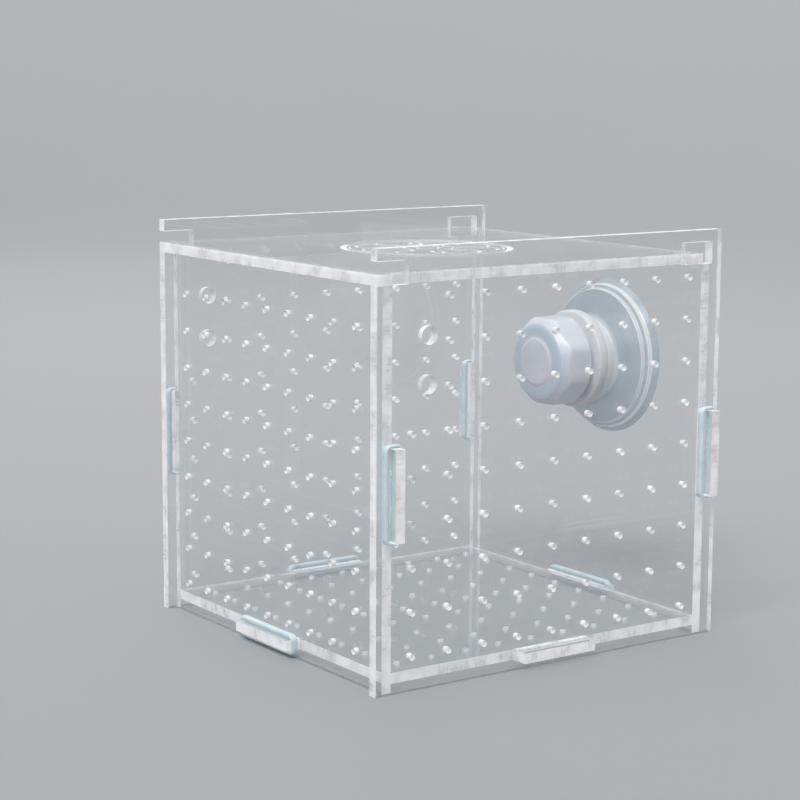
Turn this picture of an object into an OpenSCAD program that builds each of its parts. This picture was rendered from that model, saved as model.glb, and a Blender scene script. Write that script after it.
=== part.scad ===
// Perforated clear acrylic holding box for an aquarium.
// Flat sheets are joined by tabs through slots, and a stretched silicone band locks each tab.
// The lid rests on four ears in slots near the top of the front and back panels, and slides
// a little way in them. A suction cup on the right side hangs the box on a tank wall.
// The front is at -Y, the suction cup points along +X and the box stands on Z = 0.

/* [Sheet] */
// Thickness of every acrylic sheet
sheet = 3; // [2:0.5:4]

/* [Box] */
// Width of the front and back panels
box_w = 120; // [118:1:150]
// Depth of the box over the front and back panels
box_d = 115; // [108:1:140]
// Height of the front and back panels
panel_h = 119; // [118:1:135]
// Distance of each side panel from the ends of the front and back panels
side_inset = 3; // [3:0.5:6]
// Height of the bottom plate's underside
floor_z = 2.5; // [2:0.5:8]

/* [Small holes] */
// Diameter of the small water holes
hole_d = 1.8; // [1.5:0.1:3]
// Holes along each edge of a perforated sheet
holes_per_row = 9; // [5:1:9]
// Hole pitch on the front and back panels
front_pitch = 12.05; // [9:0.05:12.5]
// Height of the lowest row of holes on the front and back panels
front_grid_z = 9.3; // [9:0.1:12]
// Hole pitch along the left side panel
side_pitch_y = 11.3; // [8:0.1:11.5]
// Hole pitch up the left side panel
side_pitch_z = 11.05; // [8:0.05:11.5]
// Height of the lowest row of holes on the left side panel
side_grid_z = 8.8; // [8.5:0.1:12]
// Shift of the left side panel's hole grid towards the back
side_grid_shift = 2.9; // [0:0.1:3.5]
// Hole pitch on the bottom plate
floor_pitch = 11.6; // [8:0.1:11.8]

/* [Tube holes] */
// Diameter of the tube holes in the front and back panels
tube_hole_d = 5; // [4:0.5:6]
// Distance of the tube holes from the panel's left end
tube_hole_x = 16.8; // [16:0.1:18]
// Height of the upper tube hole
tube_hole_z = 95.5; // [94:0.5:97]
// Distance between the two tube holes
tube_hole_pitch = 13; // [12:0.5:20]

/* [Tabs] */
// Length of the tabs on the front and back panels
tab_len = 25; // [15:1:35]
// Length of the bottom plate's left and right tabs
floor_side_tab_len = 27; // [15:1:35]
// Reach of the side panels' tabs past the front and back panels
side_tab_reach = 4.5; // [3.5:0.5:8]
// Reach of the bottom plate's tabs past the walls
floor_tab_reach = 3.5; // [3:0.5:6]
// Gap round a tab in its slot
slot_play = 0.1; // [0.05:0.05:0.3]

/* [Lid] */
// Length of the lid from left to right
lid_w = 113; // [111:0.5:114]
// Height of the slot bottoms that the lid's ears rest on
lid_rest_z = 109.3; // [109:0.1:110]
// Width of each ear along the lid's edge
ear_w = 4.6; // [3:0.2:6]
// Height of the ear slots
ear_slot_h = 6.3; // [5:0.1:7]
// Depth of the open slot at the left end of the front and back panels
open_slot_w = 10; // [8:0.5:12]
// Width of the closed window near the right end of the front and back panels
window_w = 10.5; // [9:0.5:11]
// Width of the wall left between the window and the panel's right end
window_wall = 3.5; // [3:0.5:4]
// Gap between the lid and the front and back panels
lid_play = 0.3; // [0.2:0.1:1]
// Gap between the lid and what it slides over
lid_lift = 0.05; // [0.05:0.05:0.2]
// Outer radius of the engraved ornament
ornament_r = 25; // [20:1:40]
// Depth of the engraved lines
engraving = 0.4; // [0.2:0.1:0.8]

/* [Bands] */
// Thickness of the silicone bands along a tab's flat sides
band_t = 1.4; // [1.2:0.1:1.8]
// Thickness of the silicone bands over a tab's short ends
band_end_t = 0.8; // [0.6:0.1:1.4]
// Width of the silicone bands
band_w = 2; // [1:0.1:2.5]

/* [Suction cup] */
// Height of the suction cup's axis
cup_z = 75.5; // [50:0.5:78]
// Largest radius of the suction cup's lip
lip_r = 24; // [22:0.5:26]
// Distance of the lip from the right side panel
cup_len = 10.8; // [9.5:0.1:13]
// Radius of the cup's collar
collar_r = 12.5; // [10:0.5:14]
// Radius of the cup's stem
stem_r = 4; // [3:0.5:5]
// Radius of the washer
washer_r = 15; // [13:0.5:18]
// Thickness of the washer
washer_t = 3.3; // [2:0.1:4]
// Size of the knob across its flats
knob_flats = 26.4; // [22:0.2:30]
// Length of the knob's eight-sided grip
knob_len = 11; // [8:0.5:14]
// Gap between faces that turn against each other
turn_gap = 0.15; // [0.1:0.05:0.3]

/* [Hidden] */

acrylic = [0.86, 0.90, 0.92, 0.35];
silicone = [0.72, 0.84, 0.90, 0.9];
cup_colour = [0.80, 0.85, 0.88, 0.9];
knob_colour = [0.84, 0.86, 0.90, 1];

overcut = 1; // how far a cutter runs past the sheet it cuts
hole_fn = 24; // segments shown round a small hole
round_fn = 96; // segments shown round a large circle

// Positions that follow from the driving dimensions, from the front panel's bottom left corner
left_in = side_inset + sheet;
right_out = box_w - side_inset;
right_in = right_out - sheet;
back_in = box_d - sheet;
side_gap = 0.3; // gap between a side panel's top and the lid
side_h = lid_rest_z - side_gap;
tab_z = side_h / 2;
window_x = box_w - window_wall - window_w;
band_corner_r = 2; // radius of the bands' outer corners
skipped_rows = 3; // rows with no small hole in the left column, where the tube holes are

// Suction cup: its own axis is Z, with 0 on the right side panel's outer face
stem_clearance = 0.5;
knob_bore_clearance = 0.2;
boss_len = 1.9;
boss_r = 11.5;
knob_base = -(sheet + turn_gap + washer_t + turn_gap + boss_len);
knob_face_rise = 0.5;
knob_chamfer = 1.6;
stem_end = knob_base - knob_len / 2;

// The origin is the middle of the finished part's underside
part_x_min = side_inset - floor_tab_reach;
part_x_max = right_out + cup_len;
origin = [(part_x_min + part_x_max) / 2, box_d / 2, 0];

// Shared shapes

// A sheet in the X-Z plane, with its front face at Y = y
module upright_x(y) {
    translate([0, y + sheet, 0]) rotate([90, 0, 0]) linear_extrude(sheet) children();
}

// A sheet in the Y-Z plane, with its left face at X = x; the outline is drawn as (Y, Z)
module upright_y(x) {
    translate([x, 0, 0]) rotate([90, 0, 90]) linear_extrude(sheet) children();
}

// A rectangle centred on a point, grown by a gap on every side
module slot(centre, size, gap) {
    translate(centre) square([size.x + 2 * gap, size.y + 2 * gap], center = true);
}

// Small holes in columns and rows; the first skip rows from the top of column 0 stay solid
module hole_grid(first, pitch, skip = 0) {
    last = holes_per_row - 1;
    for (column = [0 : last], row = [0 : last]) {
        if (column > 0 || row <= last - skip) {
            translate([first.x + column * pitch.x, first.y + row * pitch.y]) circle(d = hole_d, $fn = hole_fn);
        }
    }
}

// Offset that centres a row of holes on a middle point
function row_start(middle, pitch) = middle - (holes_per_row - 1) * pitch / 2;

// Outline of the front and back panels, seen from the front
module end_outline() {
    difference() {
        square([box_w, panel_h]);
        hole_grid([row_start(box_w / 2, front_pitch), front_grid_z], [front_pitch, front_pitch], skipped_rows);
        for (drop = [0, tube_hole_pitch]) {
            translate([tube_hole_x, tube_hole_z - drop]) circle(d = tube_hole_d, $fn = round_fn);
        }
        for (x = [side_inset + sheet / 2, right_out - sheet / 2]) {
            slot([x, tab_z], [sheet, tab_len], slot_play);
        }
        slot([box_w / 2, floor_z + sheet / 2], [tab_len, sheet], slot_play);
        translate([-overcut, lid_rest_z]) square([open_slot_w + overcut, ear_slot_h]);
        translate([window_x, lid_rest_z]) square([window_w, ear_slot_h]);
    }
}

// Outline of a side panel with its two tabs, drawn as (Y, Z)
module side_outline() {
    difference() {
        union() {
            translate([sheet, 0]) square([box_d - 2 * sheet, side_h]);
            slot([box_d / 2, tab_z], [box_d + 2 * side_tab_reach, tab_len], 0);
        }
        slot([box_d / 2, floor_z + sheet / 2], [floor_side_tab_len, sheet], slot_play);
    }
}

// A band stretched round a tab that reaches up along Z; the tab's long side runs along Y
module band(length) {
    half = sheet / 2 + slot_play;
    run = length / 2 + slot_play;
    x = half + band_t;
    y = run + band_end_t;
    color(silicone) linear_extrude(band_w) difference() {
        union() {
            square([2 * x, 2 * (y - band_corner_r)], center = true);
            square([2 * (x - band_corner_r), 2 * y], center = true);
            for (i = [-1, 1], j = [-1, 1]) {
                translate([i * (x - band_corner_r), j * (y - band_corner_r)]) circle(band_corner_r, $fn = round_fn);
            }
        }
        square([2 * half, 2 * run], center = true);
    }
}

// A band on a side panel's tab, against the front panel or the back panel
module upright_band(x, y) {
    outwards = y < box_d / 2 ? 90 : -90;
    translate([x, y, tab_z]) rotate([outwards, 0, 0]) band(tab_len);
}

// A band on the bottom plate's tab, with its back at X = x or Y = y
module floor_band(x, y, turn, length) {
    translate([x, y, floor_z + sheet / 2]) rotate([0, 0, turn]) rotate([90, 90, 0]) band(length);
}

// Places a shape drawn round Z so that its Z runs along the suction cup's axis, outwards
module on_cup_axis() {
    translate([right_out, box_d / 2, cup_z]) rotate([0, 90, 0]) children();
}

// A ring-shaped groove cutter for the lid's top
module groove(radius, width) {
    difference() {
        cylinder(r = radius, h = engraving + overcut, $fn = round_fn);
        translate([0, 0, -overcut]) cylinder(r = radius - width, h = engraving + 3 * overcut, $fn = round_fn);
    }
}

// Generic rosette: two rings round a wreath of circles
module ornament() {
    petals = 8;
    petal_r = 0.3 * ornament_r;
    wreath_r = 0.55 * ornament_r;
    line = 1.2;
    groove(ornament_r, 1.5 * line);
    groove(0.9 * ornament_r, line / 2);
    groove(0.16 * ornament_r, line);
    for (i = [0 : petals - 1]) {
        rotate(i * 360 / petals) translate([wreath_r, 0, 0]) groove(petal_r, line);
    }
}

// Sub-parts

module front_panel() {
    translate(-origin) color(acrylic) upright_x(0) end_outline();
}

module back_panel() {
    translate(-origin) color(acrylic) upright_x(back_in) end_outline();
}

module left_side_panel() {
    first_y = row_start(box_d / 2, side_pitch_y) + side_grid_shift;
    translate(-origin) color(acrylic) upright_y(side_inset) difference() {
        side_outline();
        hole_grid([first_y, side_grid_z], [side_pitch_y, side_pitch_z]);
    }
}

module right_side_panel() {
    translate(-origin) color(acrylic) upright_y(right_in) difference() {
        side_outline();
        translate([box_d / 2, cup_z]) circle(stem_r + stem_clearance, $fn = round_fn);
    }
}

module bottom_plate() {
    middle = [box_w / 2, box_d / 2];
    reach = 2 * floor_tab_reach;
    translate([0, 0, floor_z] - origin) color(acrylic) linear_extrude(sheet) difference() {
        union() {
            translate([left_in, sheet]) square([right_in - left_in, box_d - 2 * sheet]);
            slot(middle, [right_out - side_inset + reach, floor_side_tab_len], 0);
            slot(middle, [tab_len, box_d + reach], 0);
        }
        hole_grid(
            [row_start(middle.x, floor_pitch), row_start(middle.y, floor_pitch)],
            [floor_pitch, floor_pitch]
        );
    }
}

module lid() {
    body_d = box_d - 2 * (sheet + lid_play);
    translate([0, 0, lid_rest_z + lid_lift] - origin) color(acrylic) difference() {
        linear_extrude(sheet) union() {
            translate([0, sheet + lid_play]) square([lid_w, body_d]);
            square([ear_w, box_d]);
            translate([lid_w - ear_w, 0]) square([ear_w, box_d]);
        }
        translate([lid_w / 2, box_d / 2, sheet - engraving]) ornament();
    }
}

module band_front_left() {
    translate(-origin) upright_band(side_inset + sheet / 2, 0);
}

module band_front_right() {
    translate(-origin) upright_band(right_out - sheet / 2, 0);
}

module band_back_left() {
    translate(-origin) upright_band(side_inset + sheet / 2, box_d);
}

module band_back_right() {
    translate(-origin) upright_band(right_out - sheet / 2, box_d);
}

module band_bottom_left() {
    translate(-origin) floor_band(side_inset, box_d / 2, -90, floor_side_tab_len);
}

module band_bottom_right() {
    translate(-origin) floor_band(right_out, box_d / 2, 90, floor_side_tab_len);
}

module band_bottom_back() {
    translate(-origin) floor_band(box_w / 2, box_d, 180, tab_len);
}

// One moulding: the stem, the collar, the flared cup with its rim, and the thin lip
module suction_cup() {
    collar_z = 3;
    rim_z = cup_len - 3;
    rim_r = lip_r - 1.4;
    flare = 6; // steps in the curved flare
    flare_points = [
        for (i = [0 : flare])
            let (u = i / flare)
            [collar_r + (rim_r - collar_r) * u, collar_z + (rim_z - 1 - collar_z) * (0.35 * u + 0.65 * u * u)]
    ];
    hollow_points = [
        for (i = [0 : flare])
            let (u = 1 - i / flare)
            [(lip_r - 2.2) * u, cup_len - 5.6 + 4 * u * u]
    ];
    profile = concat(
        [[0, stem_end], [stem_r, stem_end], [stem_r, turn_gap], [collar_r, turn_gap]],
        flare_points,
        [[rim_r + 0.5, rim_z - 0.6], [rim_r + 0.5, rim_z + 0.8], [rim_r, rim_z + 1.2]],
        [[lip_r, cup_len - 0.5], [lip_r, cup_len], [lip_r - 0.8, cup_len]],
        hollow_points
    );
    translate(-origin) on_cup_axis() color(cup_colour) rotate_extrude($fn = round_fn) polygon(profile);
}

module washer() {
    edge = 0.5;
    inner_r = stem_r + stem_clearance;
    top = -(sheet + turn_gap);
    base = top - washer_t;
    profile = [
        [inner_r, base], [washer_r - edge, base], [washer_r, base + edge],
        [washer_r, top - edge], [washer_r - edge, top], [inner_r, top]
    ];
    translate(-origin) on_cup_axis() color(cup_colour) rotate_extrude($fn = round_fn) polygon(profile);
}

// Eight-sided grip with rounded corners, a chamfered front, a raised round face and a blind bore
module knob() {
    flat_r = knob_flats / 2;
    corner_r = flat_r + 0.7;
    front = knob_base - knob_len;
    face_r = 7.2;
    bore_r = stem_r + knob_bore_clearance;
    bore_end = stem_end - 0.5;
    rounding = [
        [0, front - knob_face_rise], [face_r - 0.4, front - knob_face_rise], [face_r, front],
        [flat_r - knob_chamfer, front + 0.5], [corner_r, front + 0.5 + 1.6 * knob_chamfer],
        [corner_r, knob_base - 0.6], [corner_r - 0.6, knob_base], [0, knob_base]
    ];
    translate(-origin) on_cup_axis() color(knob_colour) difference() {
        union() {
            intersection() {
                translate([0, 0, front - overcut]) rotate(22.5)
                    cylinder(r = flat_r / cos(22.5), h = knob_len + 2 * overcut, $fn = 8);
                rotate_extrude($fn = round_fn) polygon(rounding);
            }
            translate([0, 0, knob_base - 0.5]) cylinder(r = boss_r, h = boss_len + 0.5, $fn = round_fn);
        }
        translate([0, 0, bore_end]) cylinder(r = bore_r, h = knob_len + boss_len + overcut, $fn = round_fn);
    }
}

front_panel();
back_panel();
left_side_panel();
right_side_panel();
bottom_plate();
lid();
band_front_left();
band_front_right();
band_back_left();
band_back_right();
band_bottom_left();
band_bottom_right();
band_bottom_back();
suction_cup();
washer();
knob();
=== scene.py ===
"""Looks for the perforated clear acrylic aquarium isolation box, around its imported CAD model.

The flat sheets stay as CAD nodes with acrylic materials. The silicone bands, the suction cup, the
washer and the knob are replaced by finer meshes. Metres, in the row frame.
"""

import math

import bpy
from mathutils import Matrix, Vector


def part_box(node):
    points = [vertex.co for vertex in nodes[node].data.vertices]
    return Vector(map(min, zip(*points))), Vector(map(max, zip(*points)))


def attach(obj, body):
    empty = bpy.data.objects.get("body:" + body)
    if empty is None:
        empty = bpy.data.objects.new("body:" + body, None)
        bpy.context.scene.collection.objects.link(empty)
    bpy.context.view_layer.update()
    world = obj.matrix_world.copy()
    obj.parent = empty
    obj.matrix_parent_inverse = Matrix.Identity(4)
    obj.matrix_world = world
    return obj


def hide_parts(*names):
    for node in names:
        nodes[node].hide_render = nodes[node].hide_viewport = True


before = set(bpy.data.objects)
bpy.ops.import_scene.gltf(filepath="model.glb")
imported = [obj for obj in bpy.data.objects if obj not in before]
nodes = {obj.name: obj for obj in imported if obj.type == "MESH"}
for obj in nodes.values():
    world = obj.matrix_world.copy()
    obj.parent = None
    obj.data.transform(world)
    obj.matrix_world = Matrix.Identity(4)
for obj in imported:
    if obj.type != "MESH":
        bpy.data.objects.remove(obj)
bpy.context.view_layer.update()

MM = 0.001
TAU = 2 * math.pi

# Camera at the photograph's viewing angle
CAMERA_AT = (-0.37568, -0.51167, 0.16894)
CAMERA_YAW = 0.61285
CAMERA_PITCH = 0.16018
CAMERA_ROLL = 0.005345
CAMERA_LENS = 97.2
SENSOR = 36.0


# ---------------------------------------------------------------- materials


class Shader:
    """A material with a node tree, and short ways to add nodes to it."""

    def __init__(self, name):
        self.material = bpy.data.materials.new(name)
        self.material.use_nodes = True
        self.tree = self.material.node_tree
        self.tree.nodes.clear()
        self.coordinates = self.node("ShaderNodeTexCoord").outputs["Object"]
        self.output = self.node("ShaderNodeOutputMaterial")

    def put(self, socket, value):
        """Links an output to an input, or sets the input's value."""
        if isinstance(value, bpy.types.NodeSocket):
            self.tree.links.new(value, socket)
        elif value is not None:
            socket.default_value = value

    def node(self, kind, settings=None, **inputs):
        made = self.tree.nodes.new(kind)
        for key, value in (settings or {}).items():
            setattr(made, key, value)
        for key, value in inputs.items():
            self.put(made.inputs[key.replace("_", " ")], value)
        return made

    def math(self, operation, a, b=None, clamp=False):
        made = self.node("ShaderNodeMath", {"operation": operation, "use_clamp": clamp})
        self.put(made.inputs[0], a)
        self.put(made.inputs[1], b)
        return made.outputs[0]

    def vector(self, operation, a, b=None):
        made = self.node("ShaderNodeVectorMath", {"operation": operation})
        self.put(made.inputs[0], a)
        self.put(made.inputs[1], b)
        return made.outputs["Value" if operation == "LENGTH" else "Vector"]

    def off_axis(self, off):
        """How far a point is from the cup's axis, for its offset from a point on the axis."""
        return self.vector("LENGTH", self.vector("MULTIPLY", off, (0, 1, 1)))

    def noise(self, size, detail=3.0, rough=0.55, stretch=(1, 1, 1), distortion=0.0):
        """Noise whose features are about size metres across, stretched along the axes."""
        mapped = self.node("ShaderNodeMapping", Vector=self.coordinates, Scale=stretch)
        made = self.node(
            "ShaderNodeTexNoise",
            Vector=mapped.outputs[0],
            Scale=1 / size,
            Detail=detail,
            Roughness=rough,
            Distortion=distortion,
        )
        return made.outputs[0]

    def remap(self, value, low, high, to_low=0.0, to_high=1.0):
        made = self.node("ShaderNodeMapRange", Value=value)
        for key, number in (
            ("From Min", low), ("From Max", high), ("To Min", to_low), ("To Max", to_high),
        ):
            self.put(made.inputs[key], number)
        return made.outputs[0]

    def blend(self, share, a, b):
        """Colour a where share is 0, and b where it is 1."""
        made = self.node("ShaderNodeMix", {"data_type": "RGBA"})
        self.put(made.inputs[0], share)
        self.put(made.inputs[6], a)
        self.put(made.inputs[7], b)
        return made.outputs[2]

    def mix(self, share, a, b):
        """Shader a where share is 0, and b where it is 1."""
        made = self.node("ShaderNodeMixShader")
        self.put(made.inputs[0], share)
        self.put(made.inputs[1], a)
        self.put(made.inputs[2], b)
        return made.outputs[0]

    def bump(self, height, distance, strength=1.0):
        return self.node("ShaderNodeBump", Height=height, Distance=distance, Strength=strength).outputs[0]

    def principled(self, **inputs):
        return self.node("ShaderNodeBsdfPrincipled", **inputs).outputs[0]

    def transparent(self, colour):
        return self.node("ShaderNodeBsdfTransparent", Color=colour).outputs[0]

    def let_light_through(self, surface, passed):
        """Lamps and scattered light go straight through; passed is the share's colour."""
        paths = self.node("ShaderNodeLightPath")
        passing = self.transparent(passed)
        scattered = self.mix(paths.outputs["Is Diffuse Ray"], surface, passing)
        return self.mix(paths.outputs["Is Shadow Ray"], scattered, passing)

    def finish(self, surface):
        self.put(self.output.inputs["Surface"], surface)
        return self.material


EDGE_PAINTED_GLOW = 0.20  # painted light: emission standing in for the light carried inside the sheets that leaves at their cut edges
ENGRAVING_PAINTED_GLOW = 0.42  # the same painted light, stronger, for the lid's engraved lines


def acrylic(name, axis, haze, engraved_at=None):
    """Cast acrylic sheet whose faces look along axis: clear faces, and laser-cut edges and hole
    walls that look frosted and carry painted light (emission). engraved_at is the height of the engraved
    lines' floors."""
    s = Shader(name)
    geometry = s.node("ShaderNodeNewGeometry")
    normal = s.node("ShaderNodeSeparateXYZ", Vector=geometry.outputs["True Normal"])
    facing = s.math("ABSOLUTE", normal.outputs["XYZ".index(axis)])
    cut = s.math("LESS_THAN", facing, 0.5)
    painted_glow = EDGE_PAINTED_GLOW
    if engraved_at is not None:
        place = s.node("ShaderNodeSeparateXYZ", Vector=s.coordinates)
        depth_off = s.math("ABSOLUTE", s.math("SUBTRACT", place.outputs[2], engraved_at))
        engraved = s.math("LESS_THAN", depth_off, 0.1 * MM)
        cut = s.math("MAXIMUM", cut, engraved)
        # the engraved lines get stronger painted light (emission)
        painted_glow = s.math("ADD", s.math("MULTIPLY", engraved, ENGRAVING_PAINTED_GLOW - EDGE_PAINTED_GLOW), EDGE_PAINTED_GLOW)

    # Faces: clear, with a faint cloudy film, dust and hairline scratches
    cloud = s.remap(s.noise(0.021, 4.0, 0.62, distortion=0.6), 0.42, 0.72)
    dust = s.remap(s.noise(0.0011, 2.0, 0.5), 0.70, 0.80)
    wiped = s.noise(0.0009, 2.0, 0.5, stretch=(0.07, 1.0, 0.10))
    scratch = s.math("MULTIPLY", s.remap(wiped, 0.68, 0.74), cloud)
    film = s.math("MULTIPLY", cloud, haze)
    film = s.math("ADD", film, s.math("MULTIPLY", dust, 0.10))
    film = s.math("ADD", film, s.math("MULTIPLY", scratch, 0.16), clamp=True)
    ripple = s.bump(s.noise(0.024, 2.0, 0.5), 0.00002, 1.0)
    clear = s.principled(
        Base_Color=(0.985, 0.996, 1.0, 1), Roughness=0.012, IOR=1.49, Transmission_Weight=1.0, Normal=ripple,
    )
    dusty = s.principled(Base_Color=(0.93, 0.95, 0.97, 1), Roughness=0.6, IOR=1.49)
    face = s.mix(film, clear, dusty)

    # Cut edges: frosted, and brightened by painted light (emission) that stands in for the light
    # the sheet carries to them, with soft darker patches and fine lines across the thickness from the laser
    across = tuple(0.12 if a == axis else 1.0 for a in "XYZ")
    patches = s.remap(s.noise(0.0050, 2.0, 0.5), 0.34, 0.60)
    lines = s.remap(s.noise(0.0007, 2.0, 0.6, stretch=across), 0.30, 0.70)
    tone = s.math("ADD", s.math("MULTIPLY", patches, 0.70), s.math("MULTIPLY", lines, 0.36), clamp=True)
    edge_colour = s.blend(tone, (0.68, 0.67, 0.69, 1), (0.98, 0.98, 0.99, 1))
    frosted = s.principled(
        Base_Color=edge_colour,
        Roughness=s.remap(tone, 0, 1, 0.22, 0.40),
        IOR=1.49,
        Transmission_Weight=0.12,
        # Emission: painted light on the cut edges, hole walls and engraved lines
        Emission_Color=edge_colour,
        Emission_Strength=painted_glow,
        Normal=s.bump(lines, 0.00006, 0.8),
    )
    surface = s.mix(cut, face, frosted)
    passed = s.blend(cut, (0.965, 0.972, 0.975, 1), (0.66, 0.67, 0.68, 1))
    return s.finish(s.let_light_through(surface, passed))


def silicone_material():
    s = Shader("silicone_band")
    tone = s.remap(s.noise(0.006, 3.0, 0.6), 0.35, 0.68)
    pores = s.noise(0.0005, 2.0, 0.5)
    return s.finish(
        s.principled(
            Base_Color=s.blend(tone, (0.70, 0.82, 0.89, 1), (0.86, 0.93, 0.97, 1)),
            Roughness=s.remap(tone, 0, 1, 0.42, 0.28),
            IOR=1.41,
            Subsurface_Weight=0.7,
            Subsurface_Radius=(1.0, 1.1, 1.3),
            Subsurface_Scale=0.0010,
            Transmission_Weight=0.10,
            # Emission: painted light that brightens the bands
            Emission_Color=(0.70, 0.86, 0.95, 1),
            Emission_Strength=0.06,
            Normal=s.bump(pores, 0.00006, 0.6),
        )
    )


def cup_material(axis_at):
    """Soft clear rubber, milky where it is thicker: at the collar and at the rim's two beads, whose whiter
    rings are also painted highlights. The milky parts carry painted light (emission).
    """
    s = Shader("cup_rubber")
    r = s.off_axis(s.vector("SUBTRACT", s.coordinates, axis_at))
    thick_and_painted_highlight = s.remap(r, (COLLAR_R + 0.2) * MM, (COLLAR_R + 1.6) * MM, 1.0, 0.0)
    # the beads' whiter rings stand partly for milkier rubber and partly as painted highlights on the rim
    for bead_r, width, weight in ((RIM_R, 0.36, 1.0), (INNER_RIM_R, 0.32, 0.8)):
        off_bead = s.math("ABSOLUTE", s.math("SUBTRACT", r, bead_r * MM))
        bead = s.remap(off_bead, width * MM / 2, width * MM, weight, 0.0)
        thick_and_painted_highlight = s.math("MAXIMUM", thick_and_painted_highlight, bead)
    tone = s.remap(s.noise(0.012, 3.0, 0.55), 0.35, 0.68)
    fine = s.noise(0.0009, 2.0, 0.5)
    thin_colour = s.blend(tone, (0.62, 0.70, 0.77, 1), (0.76, 0.82, 0.87, 1))
    bump = s.bump(s.math("ADD", tone, s.math("MULTIPLY", fine, 0.2)), 0.00010, 0.4)
    thin = s.principled(
        Base_Color=thin_colour,
        Roughness=s.remap(tone, 0, 1, 0.10, 0.18),
        IOR=1.46,
        Transmission_Weight=0.62,
        Coat_Weight=0.5,
        Coat_Roughness=0.08,
        Normal=bump,
    )
    milky = s.principled(
        Base_Color=s.blend(tone, (0.86, 0.89, 0.92, 1), (0.95, 0.96, 0.97, 1)),
        Roughness=0.26,
        IOR=1.46,
        Subsurface_Weight=0.6,
        Subsurface_Radius=(1.0, 1.1, 1.3),
        Subsurface_Scale=0.0015,
        # Emission: painted light on the milky collar and beads
        Emission_Color=(0.86, 0.91, 0.95, 1),
        Emission_Strength=0.10,
        Coat_Weight=0.5,
        Coat_Roughness=0.10,
        Normal=bump,
    )
    surface = s.mix(thick_and_painted_highlight, thin, milky)
    return s.finish(s.let_light_through(surface, (0.58, 0.62, 0.66, 1)))


def knob_material(axis_at, front):
    """Milky plastic, bluer in the thinner ring between the raised face and the grip's flats, with faint
    painted light (emission).
    """
    s = Shader("knob_plastic")
    off = s.vector("SUBTRACT", s.coordinates, axis_at)
    r = s.off_axis(off)
    along = s.node("ShaderNodeSeparateXYZ", Vector=off).outputs["X"]
    past_face = s.remap(r, (FACE_R + 0.2) * MM, (FACE_R + 1.2) * MM)
    inside_grip = s.remap(r, (KNOB_FLAT_R - 2.2) * MM, (KNOB_FLAT_R - 0.2) * MM, 1.0, 0.0)
    near_front = s.remap(along, (front + 1.0) * MM, (front + 2.5) * MM, 1.0, 0.0)
    ring = s.math("MULTIPLY", s.math("MULTIPLY", past_face, inside_grip), near_front)
    tone = s.remap(s.noise(0.010, 3.0, 0.55), 0.32, 0.70)
    grain = s.noise(0.0006, 3.0, 0.55)
    milky = s.blend(tone, (0.73, 0.74, 0.80, 1), (0.82, 0.82, 0.87, 1))
    return s.finish(
        s.principled(
            Base_Color=s.blend(s.math("MULTIPLY", ring, 0.8), milky, (0.60, 0.69, 0.79, 1)),
            Roughness=s.remap(grain, 0.3, 0.7, 0.30, 0.44),
            IOR=1.50,
            Subsurface_Weight=0.8,
            Subsurface_Radius=(1.0, 1.0, 1.25),
            Subsurface_Scale=0.0028,
            # Emission: faint painted light that brightens the knob
            Emission_Color=(0.84, 0.86, 0.95, 1),
            Emission_Strength=0.02,
            Coat_Weight=0.5,
            Coat_Roughness=0.10,
            Normal=s.bump(grain, 0.00005, 0.55),
        )
    )


def washer_material():
    s = Shader("washer_rubber")
    tone = s.remap(s.noise(0.005, 3.0, 0.6), 0.35, 0.65)
    return s.finish(
        s.principled(
            Base_Color=s.blend(tone, (0.84, 0.87, 0.89, 1), (0.95, 0.96, 0.97, 1)),
            Roughness=s.remap(tone, 0, 1, 0.34, 0.46),
            IOR=1.45,
            Subsurface_Weight=0.5,
            Subsurface_Radius=(1.0, 1.1, 1.2),
            Subsurface_Scale=0.002,
            Transmission_Weight=0.18,
            Normal=s.bump(s.noise(0.0007, 2.0, 0.5), 0.00006, 0.5),
        )
    )


def floor_material():
    s = Shader("floor_paper")
    grain = s.noise(0.004, 4.0, 0.6)
    broad = s.noise(0.5, 2.0, 0.5)
    return s.finish(
        s.principled(
            Base_Color=s.blend(broad, (0.400, 0.405, 0.413, 1), (0.420, 0.425, 0.433, 1)),
            Roughness=0.9,
            Specular_IOR_Level=0.1,
            Normal=s.bump(grain, 0.00005, 0.3),
        )
    )


# ---------------------------------------------------------------- meshes


def mesh_object(name, points, faces, material, smooth_angle=40.0):
    mesh = bpy.data.meshes.new(name)
    mesh.from_pydata([tuple(p) for p in points], [], faces)
    mesh.validate()
    mesh.update()
    mesh.materials.append(material)
    made = bpy.data.objects.new(name, mesh)
    bpy.context.scene.collection.objects.link(made)
    mesh.shade_smooth()
    mesh.set_sharp_from_angle(angle=math.radians(smooth_angle))
    return made


def filleted(profile, steps=5):
    """Rounds the corners of a profile. Each point is (along, radius, fillet size)."""
    out = []
    for i, (a, r, size) in enumerate(profile):
        here = Vector((a, r))
        if size <= 0 or i in (0, len(profile) - 1):
            out.append(here)
            continue
        before = Vector(profile[i - 1][:2]) - here
        after = Vector(profile[i + 1][:2]) - here
        start = here + before.normalized() * min(size, before.length * 0.49)
        end = here + after.normalized() * min(size, after.length * 0.49)
        for k in range(steps + 1):
            t = k / steps
            out.append(start * (1 - t) ** 2 + here * 2 * t * (1 - t) + end * t * t)
    return out


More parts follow.
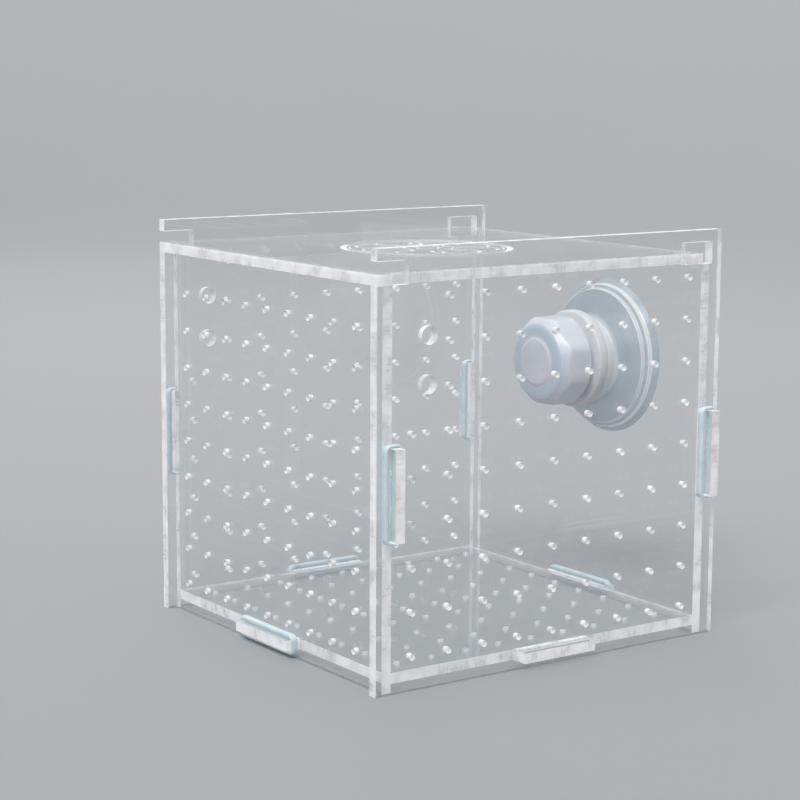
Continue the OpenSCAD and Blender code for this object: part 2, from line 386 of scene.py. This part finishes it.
def lathe(name, profile, base, material, radius_at=None, segments=192, smooth_angle=40.0):
    """Turns a profile round the cup's axis, which runs along +X from the point base. A profile
    that starts and ends on the axis is closed with two fans, and any other is a ring."""
    capped = abs(profile[0].y) < 1e-9 and abs(profile[-1].y) < 1e-9
    rings = profile[1:-1] if capped else profile
    points, faces = [], []
    for p in rings:
        for j in range(segments):
            angle = TAU * j / segments
            r = radius_at(p.x, p.y, angle) if radius_at else p.y
            points.append(base + Vector((p.x, r * math.sin(angle), -r * math.cos(angle))) * MM)
    count = len(rings)
    for i in range(count - 1 if capped else count):
        a, b = i * segments, ((i + 1) % count) * segments
        for j in range(segments):
            k = (j + 1) % segments
            faces.append((a + j, b + j, b + k, a + k))
    if capped:
        for end, ring, turn in ((profile[0], 0, 1), (profile[-1], count - 1, -1)):
            centre = len(points)
            points.append(base + Vector((end.x, 0, 0)) * MM)
            for j in range(segments):
                k = (j + 1) % segments
                fan = (centre, ring * segments + j, ring * segments + k)
                faces.append(fan[::turn])
    return mesh_object(name, points, faces, material, smooth_angle)


def rounded_rectangle(half_x, half_y, corner, per_corner=8, per_side=20):
    """Points round a rectangle with rounded corners, the same number for every size."""
    out = []
    for quarter in range(4):
        sx, sy = ((1, 1), (-1, 1), (-1, -1), (1, -1))[quarter]
        centre = Vector((sx * (half_x - corner), sy * (half_y - corner)))
        for k in range(per_corner + 1):
            angle = TAU / 4 * (quarter + k / per_corner)
            out.append(centre + Vector((math.cos(angle), math.sin(angle))) * corner)
        sx, sy = ((-1, 1), (-1, -1), (1, -1), (1, 1))[quarter]
        turn = TAU / 4 * (quarter + 1)
        end = Vector((sx * (half_x - corner), sy * (half_y - corner)))
        end += Vector((math.cos(turn), math.sin(turn))) * corner
        start = out[-1]
        out.extend(start.lerp(end, k / per_side) for k in range(1, per_side))
    return out


def band(name, node, tab_axis, seed):
    """A stretched silicone band round a tab that runs out along tab_axis. It fills the box of its
    CAD node, is thicker along the tab's flat sides, and varies a little along its length."""
    low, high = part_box(node)
    middle, size = (low + high) / 2, high - low
    across, along = sorted([i for i in range(3) if i != tab_axis], key=lambda i: size[i])
    outer = rounded_rectangle(size[across] / 2, size[along] / 2, BAND_CORNER)
    inner = rounded_rectangle(
        size[across] / 2 - BAND_SIDE, size[along] / 2 - BAND_END, 0.25 * MM
    )
    around = 24  # points round the band's own section
    points, faces = [], []
    for i, (inside, outside) in enumerate(zip(inner, outer)):
        turn = TAU * i / len(outer)
        swell = 1 - 0.05 * (1 + math.sin(5 * turn + seed)) / 2
        narrow = 1 - 0.08 * (1 + math.sin(3 * turn + 1.7 * seed)) / 2
        for j in range(around):
            angle = TAU * j / around
            c, n = math.cos(angle), math.sin(angle)
            u = math.copysign(abs(c) ** 0.6, c)
            w = math.copysign(abs(n) ** 0.5, n)
            flat = inside.lerp(outside, 0.5 + 0.5 * u * (swell if u > 0 else 1.0))
            p = middle.copy()
            p[across] += flat.x
            p[along] += flat.y
            p[tab_axis] += size[tab_axis] / 2 * w * narrow
            points.append(p)
    for i in range(len(outer)):
        a, b = i * around, ((i + 1) % len(outer)) * around
        for j in range(around):
            k = (j + 1) % around
            faces.append((a + j, b + j, b + k, a + k))
    made = mesh_object(name, points, faces, silicone, 60.0)
    fix_winding(made)
    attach(made, "box")
    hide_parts(node)


def fix_winding(made):
    """Turns a closed mesh's faces outwards where its volume comes out negative."""
    mesh = made.data
    mesh.calc_loop_triangles()
    volume = 0.0
    for t in mesh.loop_triangles:
        a, b, c = (mesh.vertices[i].co for i in t.vertices)
        volume += a.dot(b.cross(c))
    if volume < 0:
        mesh.flip_normals()


# ---------------------------------------------------------------- the sheets

lid_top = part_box("lid")[1].z
ENGRAVING = 0.4 * MM  # depth of the lid's engraved lines
end_acrylic = acrylic("acrylic_ends", "Y", 0.018)
side_acrylic = acrylic("acrylic_sides", "X", 0.018)
floor_acrylic = acrylic("acrylic_floor", "Z", 0.022)
lid_acrylic = acrylic("acrylic_lid", "Z", 0.06, engraved_at=lid_top - ENGRAVING)
SHEETS = {
    "front_panel": end_acrylic,
    "back_panel": end_acrylic,
    "left_side_panel": side_acrylic,
    "right_side_panel": side_acrylic,
    "bottom_plate": floor_acrylic,
    "lid": lid_acrylic,
}
for node, material in SHEETS.items():
    sheet = nodes[node]
    sheet.data.materials.clear()
    sheet.data.materials.append(material)

# ---------------------------------------------------------------- the silicone bands

silicone = silicone_material()
BAND_SIDE = 1.4 * MM  # thickness along a tab's flat sides
BAND_END = 0.8 * MM  # thickness over a tab's short ends
BAND_CORNER = 2.0 * MM
X_AXIS, Y_AXIS = 0, 1
for side, tab_axis, seed in (
    ("front_left", Y_AXIS, 0.4),
    ("front_right", Y_AXIS, 1.3),
    ("back_left", Y_AXIS, 2.6),
    ("back_right", Y_AXIS, 3.1),
    ("bottom_back", Y_AXIS, 4.9),
    ("bottom_left", X_AXIS, 5.5),
    ("bottom_right", X_AXIS, 0.9),
):
    band("silicone_band_" + side, "band_" + side, tab_axis, seed)

# ---------------------------------------------------------------- suction cup, washer and knob

cup_low, cup_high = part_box("suction_cup")
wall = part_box("right_side_panel")[1].x
axis_at = Vector((wall, (cup_low.y + cup_high.y) / 2, (cup_low.z + cup_high.z) / 2))
LIP_R = (cup_high.z - cup_low.z) / 2 / MM
LIP_END = (cup_high.x - wall) / MM
STEM_END = (cup_low.x - wall) / MM
STEM_R = 4.0
COLLAR_R = 12.5
TURN_GAP = 0.15
RIM_R = LIP_R - 1.7
INNER_RIM_R = RIM_R - 1.3

FLARE_START, FLARE_END = 3.0, 6.1
HOLLOW_END = LIP_END - 5.6
HOLLOW_RISE = 3.7
HOLLOW_R = LIP_R - 2.5

# The flare curves outwards from the collar to the rim, and the hollow is a shallow bowl
flare_span = INNER_RIM_R - 0.3 - COLLAR_R
flare = [
    (FLARE_START + (FLARE_END - FLARE_START) * (0.35 * u + 0.65 * u * u), COLLAR_R + flare_span * u, 0)
    for u in [k / 12 for k in range(1, 12)]
]
hollow = [(HOLLOW_END + HOLLOW_RISE * u * u, HOLLOW_R * u, 0) for u in [1 - k / 24 for k in range(1, 24)]]
cup_profile = filleted(
    [(STEM_END, 0, 0), (STEM_END, STEM_R, 0.5), (TURN_GAP, STEM_R, 0.0), (TURN_GAP, COLLAR_R, 0.45)]
    + [(2.2, COLLAR_R, 0.3), (2.5, COLLAR_R - 0.5, 0.25), (FLARE_START, COLLAR_R - 0.2, 0.2)]
    + flare
    + [(FLARE_END, INNER_RIM_R - 0.3, 0.1), (6.3, INNER_RIM_R, 0.2), (6.8, INNER_RIM_R, 0.2)]
    + [(7.0, INNER_RIM_R - 0.2, 0.1), (7.9, RIM_R - 0.3, 0.1), (8.0, RIM_R, 0.2), (8.5, RIM_R, 0.2)]
    + [(8.7, RIM_R - 0.2, 0.1), (LIP_END - 0.5, LIP_R - 0.05, 0.2), (LIP_END - 0.1, LIP_R, 0.1)]
    + [(LIP_END, LIP_R - 0.2, 0.1), (LIP_END - 0.15, LIP_R - 0.7, 0.2)]
    + [(HOLLOW_END + HOLLOW_RISE, HOLLOW_R, 0.2)]
    + hollow
    + [(HOLLOW_END, 0, 0)]
)
cup = lathe("cup_suction_cup", cup_profile, axis_at, cup_material(axis_at), smooth_angle=50.0)

WASHER_R, WASHER_T, WASHER_BORE = 15.0, 3.3, 4.5
washer_top = (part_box("washer")[1].x - wall) / MM
washer_base = washer_top - WASHER_T
washer_profile = filleted(
    [
        (washer_base, WASHER_BORE, 0), (washer_base, WASHER_R, 0.8), (washer_top, WASHER_R, 0.6),
        (washer_top, WASHER_BORE, 0.2), (washer_base, WASHER_BORE, 0.2),
    ]
)[:-1]
washer = lathe("cup_washer", washer_profile, axis_at, washer_material())

KNOB_FLAT_R = 13.2
KNOB_CORNER_R = KNOB_FLAT_R + 0.7
FACE_R = 7.2
BOSS_R = 11.5
BORE_R = 4.2
BOSS_LENGTH = 1.9
KNOB_LENGTH = 11.0
CHAMFER_START, CHAMFER_LENGTH = 0.5, 2.56
CHAMFER_R = KNOB_FLAT_R - 1.6
EIGHTH = TAU / 8
CORNER_SHARPNESS = 90.0
boss_end = (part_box("knob")[1].x - wall) / MM
knob_base = boss_end - BOSS_LENGTH
knob_front = knob_base - KNOB_LENGTH
bore_end = STEM_END - 0.5


def knob_radius(along, radius, angle):
    """The turned radius, cut back to eight flats where the grip is wider than them."""
    if radius <= BOSS_R or along > knob_base + 0.01:
        return radius
    off = (angle + EIGHTH / 2) % EIGHTH - EIGHTH / 2
    flat = KNOB_FLAT_R / math.cos(off)
    return (radius**-CORNER_SHARPNESS + flat**-CORNER_SHARPNESS) ** (-1 / CORNER_SHARPNESS)


chamfer_start = knob_front + CHAMFER_START
grip_start = chamfer_start + CHAMFER_LENGTH
grip_length = knob_base - 0.6 - grip_start
chamfer = [
    (chamfer_start + CHAMFER_LENGTH * t, CHAMFER_R + (KNOB_CORNER_R - CHAMFER_R) * t, 0)
    for t in [k / 14 for k in range(1, 15)]
]
grip = [(grip_start + grip_length * t, KNOB_CORNER_R, 0) for t in [k / 8 for k in range(1, 9)]]
knob_profile = filleted(
    [(knob_front - 0.5, 0, 0), (knob_front - 0.5, FACE_R - 0.3, 0.5), (knob_front, FACE_R + 0.3, 0.4)]
    + [(knob_front + 0.2, CHAMFER_R - 1.0, 0.5), (chamfer_start, CHAMFER_R, 0.4)]
    + chamfer
    + grip
    + [(knob_base, KNOB_CORNER_R - 0.6, 0.2), (knob_base, BOSS_R, 0.3), (boss_end, BOSS_R, 0.4)]
    + [(boss_end, BORE_R, 0.3), (bore_end, BORE_R, 0.3), (bore_end, 0, 0)]
)
knob = lathe("cup_knob", knob_profile, axis_at, knob_material(axis_at, knob_front), knob_radius, 256, 28.0)

for piece, node, body, slot in (
    (cup, "suction_cup", "cup", "cup"),
    (washer, "washer", "cup", "cup"),
    (knob, "knob", "knob", "knob"),
):
    fix_winding(piece)
    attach(piece, body)
    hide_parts(node)

# ---------------------------------------------------------------- floor, light and camera

TARGET = Vector((0, 0, 0.06))


def lamp(name, kind, place, power, size, glossy=True):
    """A soft lamp at place, aimed at the object. size is an area's side or a sun's angle in degrees."""
    light = bpy.data.lights.new(name, kind)
    light.energy = power
    if kind == "SUN":
        light.angle = math.radians(size)
    else:
        light.shape = "SQUARE"
        light.size = size
    lit = bpy.data.objects.new(name, light)
    bpy.context.scene.collection.objects.link(lit)
    lit.location = place
    lit.rotation_mode = "QUATERNION"
    lit.rotation_quaternion = (TARGET - Vector(place)).to_track_quat("-Z", "Y")
    lit.visible_camera = False
    lit.visible_transmission = False
    lit.visible_glossy = glossy


# The pale floor curves up far from the object on every side. Each point is (height, radius).
SWEEP_R, SWEEP_CURVE, SWEEP_TOP, SWEEP_SEGMENTS = 1.3, 2.0, 2.6, 96
sweep = [(0.0, 0.3), (0.0, 1.0), (0.0, SWEEP_R)]
sweep += [
    (SWEEP_CURVE * (1 - math.cos(a)), SWEEP_R + SWEEP_CURVE * math.sin(a))
    for a in [math.pi / 2 * k / 16 for k in range(1, 17)]
]
sweep.append((SWEEP_TOP, SWEEP_R + SWEEP_CURVE))
points, faces = [Vector((0, 0, 0))], []
for height, radius in sweep:
    for j in range(SWEEP_SEGMENTS):
        angle = TAU * j / SWEEP_SEGMENTS
        points.append(Vector((radius * math.cos(angle), radius * math.sin(angle), height)))
for j in range(SWEEP_SEGMENTS):
    k = (j + 1) % SWEEP_SEGMENTS
    faces.append((0, 1 + j, 1 + k))
    for i in range(len(sweep) - 1):
        a, b = 1 + i * SWEEP_SEGMENTS, 1 + (i + 1) * SWEEP_SEGMENTS
        faces.append((a + j, b + j, b + k, a + k))
floor = mesh_object("studio_floor", points, faces, floor_material())

lamp("key", "SUN", (-1.30, -1.00, 1.70), 2.5, 35)
lamp("top", "AREA", (-0.25, 0.10, 1.10), 3.0, 0.7)
lamp("back", "AREA", (0.30, 0.90, 0.95), 3.2, 0.7, glossy=False)
lamp("fill", "AREA", (0.95, -0.80, 0.55), 1.4, 0.7)

scene = bpy.context.scene
world = bpy.data.worlds.new("studio")
world.use_nodes = True
world.node_tree.nodes["Background"].inputs["Color"].default_value = (0.93, 0.96, 1.0, 1)
world.node_tree.nodes["Background"].inputs["Strength"].default_value = 0.42
scene.world = world

forward = Vector(
    (
        math.sin(CAMERA_YAW) * math.cos(CAMERA_PITCH),
        math.cos(CAMERA_YAW) * math.cos(CAMERA_PITCH),
        -math.sin(CAMERA_PITCH),
    )
)
right = Vector((math.cos(CAMERA_YAW), -math.sin(CAMERA_YAW), 0))
up = right.cross(forward)
roll_c, roll_s = math.cos(CAMERA_ROLL), math.sin(CAMERA_ROLL)
camera_x = roll_c * right + roll_s * up
camera_y = -roll_s * right + roll_c * up
lens = bpy.data.cameras.new("camera")
lens.sensor_width = SENSOR
lens.lens = CAMERA_LENS
lens.clip_start = 0.01
lens.clip_end = 50.0
camera = bpy.data.objects.new("camera", lens)
scene.collection.objects.link(camera)
turned = Matrix((camera_x, camera_y, -forward)).transposed().to_4x4()
camera.matrix_world = Matrix.Translation(CAMERA_AT) @ turned
scene.camera = camera

scene.view_settings.view_transform = "Standard"
scene.cycles.max_bounces = 32
scene.cycles.transmission_bounces = 28
scene.cycles.transparent_max_bounces = 64
scene.cycles.glossy_bounces = 8
scene.cycles.diffuse_bounces = 4
scene.cycles.sample_clamp_indirect = 6.0
scene.cycles.use_denoising = True
